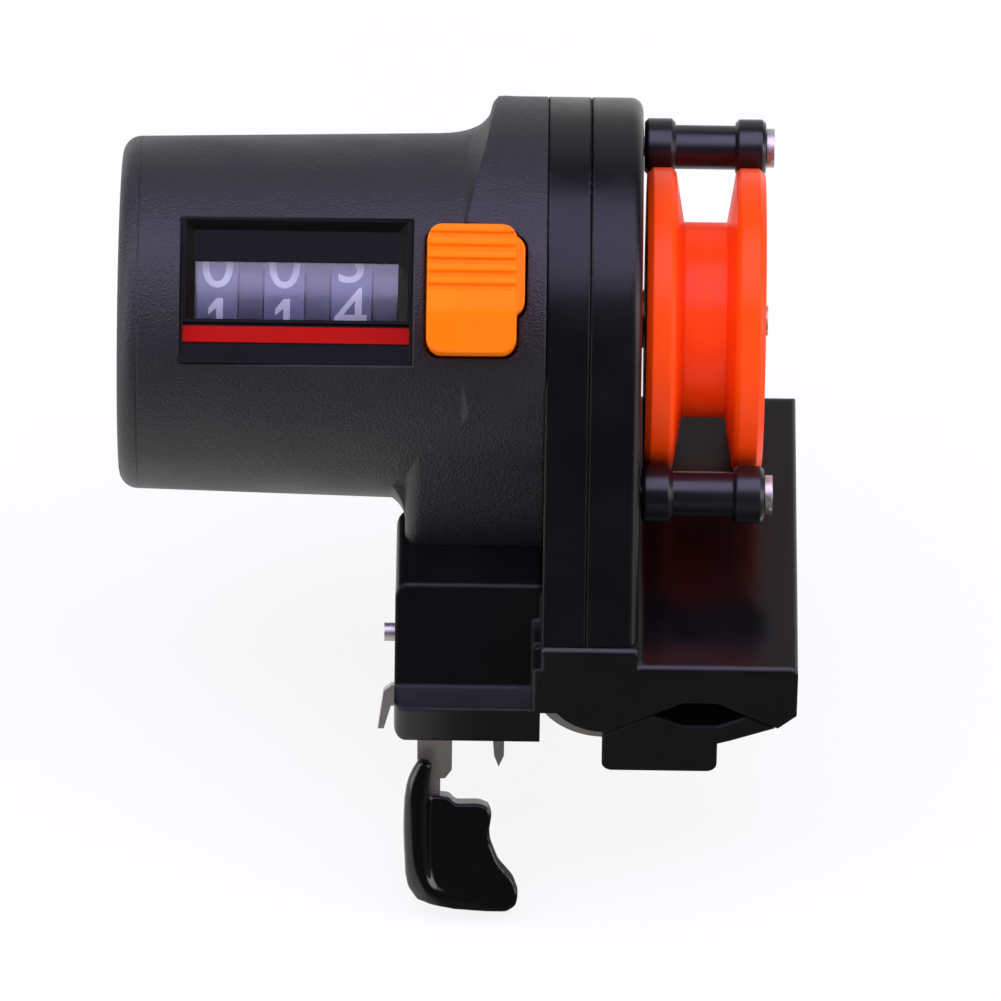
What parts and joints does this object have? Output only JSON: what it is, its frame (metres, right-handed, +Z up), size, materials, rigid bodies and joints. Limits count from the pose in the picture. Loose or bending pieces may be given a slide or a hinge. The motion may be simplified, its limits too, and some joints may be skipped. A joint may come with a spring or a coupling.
{
  "type": "fishing line counter",
  "caption": "Clip-on line counter with a drum display in a barrel, a grooved measuring wheel between two line rollers, a reset button and a sprung rod jaw.",
  "frame": {"origin": "on the axis of the rod, in the middle of the rod seat's length", "axes": "+X along the wheel's axle towards the wheel's free side, +Y along the rod away from the angler, +Z up"},
  "size_m": [0.0886, 0.0803, 0.092],
  "materials": {
    "barrel_plastic": "fine textured moulding",
    "gloss_plastic": "polished moulding",
    "roller_plastic": "smooth moulding",
    "orange_plastic": "satin moulding",
    "button_plastic": "satin moulding",
    "drum_plastic": "printed moulding",
    "gear_plastic": "natural nylon",
    "clear_plastic": "clear moulding",
    "red_plastic": "painted line",
    "steel": "plated",
    "brass": "turned",
    "vinyl": "dipped vinyl, glossy"
  },
  "bodies": {
    "counter_body": {"barrel_housing": "barrel_plastic", "end_cap": "barrel_plastic", "gear_plate": "barrel_plastic", "wheel_side_cover": "barrel_plastic", "clamp_base": "gloss_plastic", "window_bezel": "gloss_plastic", "window_lens": "clear_plastic", "index_strip": "red_plastic", "pinion_shaft": "steel", "first_arbor": "steel", "second_arbor": "steel", "shaft_bush": "brass", "roller_screws": "steel", "pivot_pin": "steel", "anchor_pin": "steel", "housing_screws": "steel", "base_screws": "steel", "button_spring": "steel", "clamp_spring": "steel"},
    "wheel": {"line_wheel": "orange_plastic", "wheel_shaft": "steel", "wheel_screw": "steel", "drive_pinion": "brass"},
    "first_reduction": {"first_gear": "gear_plastic"},
    "second_reduction": {"second_gear": "gear_plastic"},
    "units": {"units_gear": "gear_plastic", "drum_shaft": "steel", "units_drum": "drum_plastic"},
    "tens": {"tens_drum": "drum_plastic"},
    "hundreds": {"hundreds_drum": "drum_plastic"},
    "tens_transfer": {"tens_pinion": "gear_plastic"},
    "hundreds_transfer": {"hundreds_pinion": "gear_plastic"},
    "upper_roller": {"upper_line_roller": "roller_plastic"},
    "lower_roller": {"lower_line_roller": "roller_plastic"},
    "button": {"reset_button": "button_plastic"},
    "clamp": {"clamp_arm": "steel", "lower_jaw": "gloss_plastic", "lever_plate": "steel", "lever_grip": "vinyl"}
  },
  "joints": [
    {"name": "wheel_spin", "type": "hinge", "parent": "counter_body", "child": "wheel", "pos_m": [0, 0.0165, 0.031], "axis": [1, 0, 0], "continuous": true},
    {"name": "first_gear_spin", "type": "hinge", "parent": "counter_body", "child": "first_reduction", "pos_m": [0, 0.02691, 0.02503], "axis": [1, 0, 0], "continuous": true},
    {"name": "second_gear_spin", "type": "hinge", "parent": "counter_body", "child": "second_reduction", "pos_m": [0, 0.02406, 0.03669], "axis": [1, 0, 0], "continuous": true},
    {"name": "units_spin", "type": "hinge", "parent": "counter_body", "child": "units", "pos_m": [0, 0.01206, 0.03669], "axis": [1, 0, 0], "continuous": true},
    {"name": "tens_spin", "type": "hinge", "parent": "counter_body", "child": "tens", "pos_m": [0, 0.01206, 0.03669], "axis": [1, 0, 0], "continuous": true},
    {"name": "hundreds_spin", "type": "hinge", "parent": "counter_body", "child": "hundreds", "pos_m": [0, 0.01206, 0.03669], "axis": [1, 0, 0], "continuous": true},
    {"name": "tens_pinion_spin", "type": "hinge", "parent": "counter_body", "child": "tens_transfer", "pos_m": [0, 0.01964, 0.02698], "axis": [1, 0, 0], "continuous": true},
    {"name": "hundreds_pinion_spin", "type": "hinge", "parent": "counter_body", "child": "hundreds_transfer", "pos_m": [0, 0.01964, 0.02698], "axis": [1, 0, 0], "continuous": true},
    {"name": "upper_roller_spin", "type": "hinge", "parent": "counter_body", "child": "upper_roller", "pos_m": [0, 0.03843, 0.04123], "axis": [1, 0, 0], "continuous": true},
    {"name": "lower_roller_spin", "type": "hinge", "parent": "counter_body", "child": "lower_roller", "pos_m": [0, -0.00543, 0.02077], "axis": [1, 0, 0], "continuous": true},
    {"name": "button_press", "type": "slide", "parent": "counter_body", "child": "button", "axis": [0, 0.6157, -0.788], "range_m": [0, 0.0025], "stiffness_N_per_m": 300, "springref_m": -0.003, "deforming": ["button_spring"]},
    {"name": "clamp_hinge", "type": "hinge", "parent": "counter_body", "child": "clamp", "pos_m": [-0.02973, -0.0125, 0.00437], "axis": [0, 1, 0], "range_deg": [0, 22], "stiffness_Nm_per_rad": 0.6, "springref_deg": -20.05, "deforming": ["clamp_spring"]}
  ],
  "couplings": [
    {"joint": "first_gear_spin", "follows": "wheel_spin", "ratio": -0.2},
    {"joint": "second_gear_spin", "follows": "wheel_spin", "ratio": 0.04},
    {"joint": "units_spin", "follows": "wheel_spin", "ratio": -0.008},
    {"joint": "tens_spin", "follows": "wheel_spin", "ratio": -0.0008},
    {"joint": "hundreds_spin", "follows": "wheel_spin", "ratio": -0.00008},
    {"joint": "tens_pinion_spin", "follows": "wheel_spin", "ratio": 0.002},
    {"joint": "hundreds_pinion_spin", "follows": "wheel_spin", "ratio": 0.0002}
  ]
}
